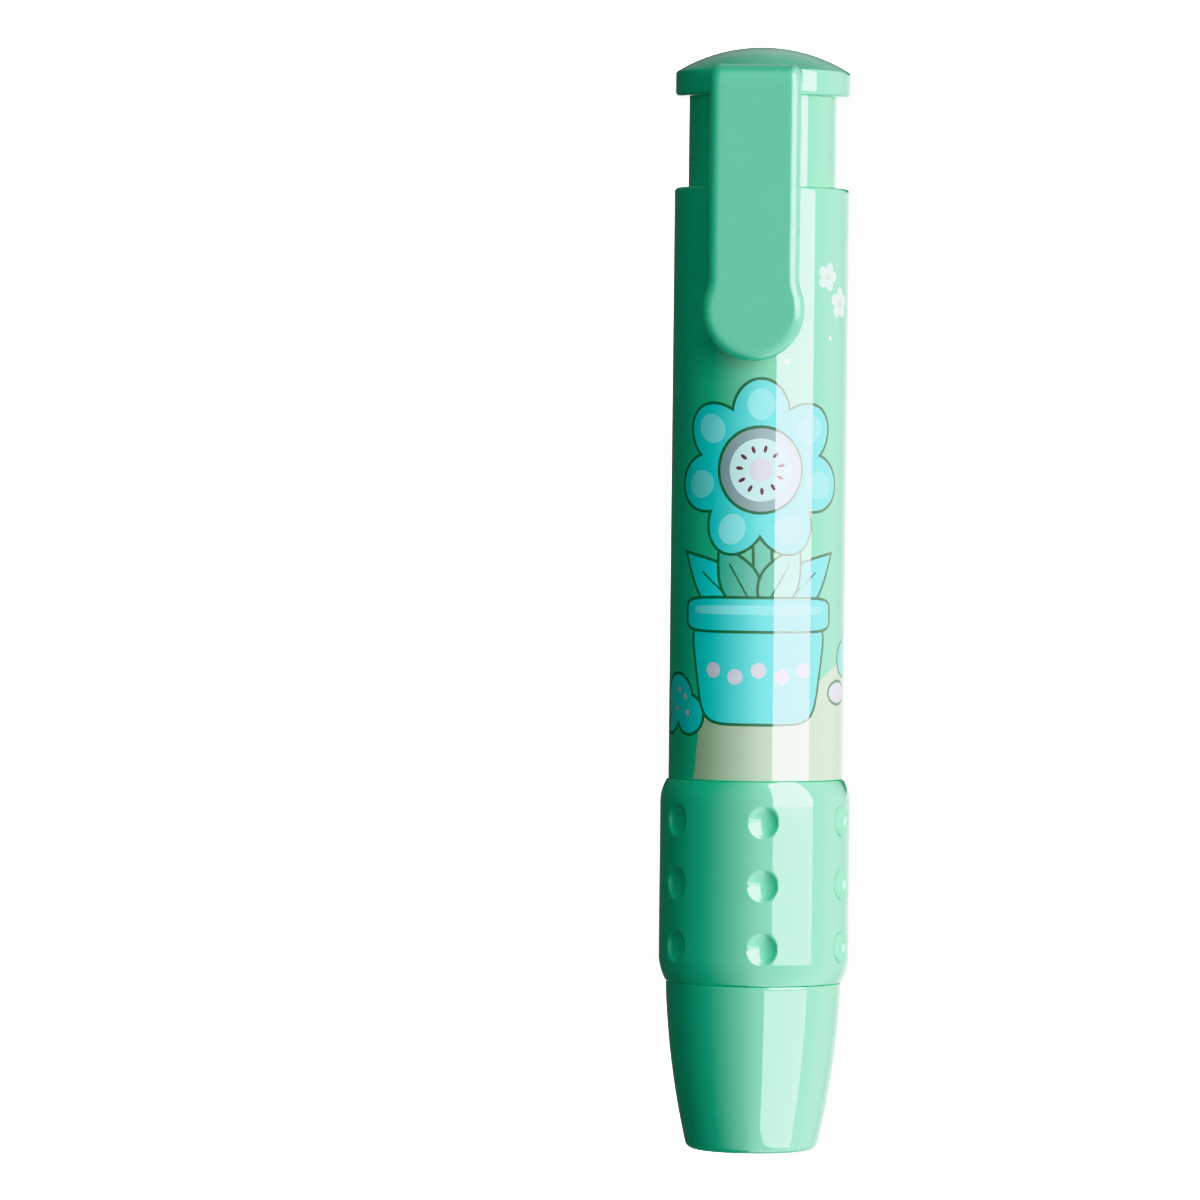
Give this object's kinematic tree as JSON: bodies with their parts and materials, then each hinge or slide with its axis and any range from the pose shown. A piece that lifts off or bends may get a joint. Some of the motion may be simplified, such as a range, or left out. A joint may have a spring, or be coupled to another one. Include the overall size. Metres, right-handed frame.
{
  "type": "pencil eraser stick",
  "caption": "Push-button eraser holder in mint plastic: tapered nose, dimpled grip, printed barrel, domed cap with pocket clip, and a round eraser stick inside.",
  "frame": {"origin": "centre of the nose's mouth, on the plane of its end ring, on the long axis", "axes": "+Z along the long axis from the mouth to the cap, so the holder stands on its nose; -Y the way the pocket clip faces; +X to the right of the clip seen from its own side"},
  "size_m": [0.0208, 0.0236, 0.12],
  "materials": {
    "mint_shell": "polished injection-moulded plastic",
    "mint_clip": "satin injection-moulded plastic",
    "natural_plastic": "uncoloured moulded plastic",
    "soft_seal": "soft moulded elastomer",
    "steel": "drawn spring wire and turned ring",
    "eraser": "matte eraser with a fine speckle"
  },
  "bodies": {
    "shell": {"nose_cone": "mint_shell", "mouth_seal": "soft_seal", "grip_sleeve": "mint_shell", "coupler": "natural_plastic", "barrel": "mint_shell", "return_spring": "steel"},
    "knock": {"push_cap": "mint_shell", "clip": "mint_clip", "knock_tube": "mint_shell", "feed_tube": "natural_plastic", "collet": "natural_plastic"},
    "clutch": {"clutch_ring": "steel"},
    "stick": {"eraser_core": "eraser"}
  },
  "joints": [
    {"name": "knock_slide", "type": "slide", "parent": "shell", "child": "knock", "axis": [0, 0, -1], "range_m": [0, 0.008], "stiffness_N_per_m": 250, "springref_m": -0.008, "deforming": ["return_spring"]},
    {"name": "clutch_slide", "type": "slide", "parent": "shell", "child": "clutch", "axis": [0, 0, -1], "range_m": [0, 0.0032]},
    {"name": "stick_slide", "type": "slide", "parent": "shell", "child": "stick", "axis": [0, 0, -1], "range_m": [0, 0.07]}
  ],
  "couplings": [
    {"joint": "clutch_slide", "follows": "knock_slide", "ratio": 0.4}
  ]
}
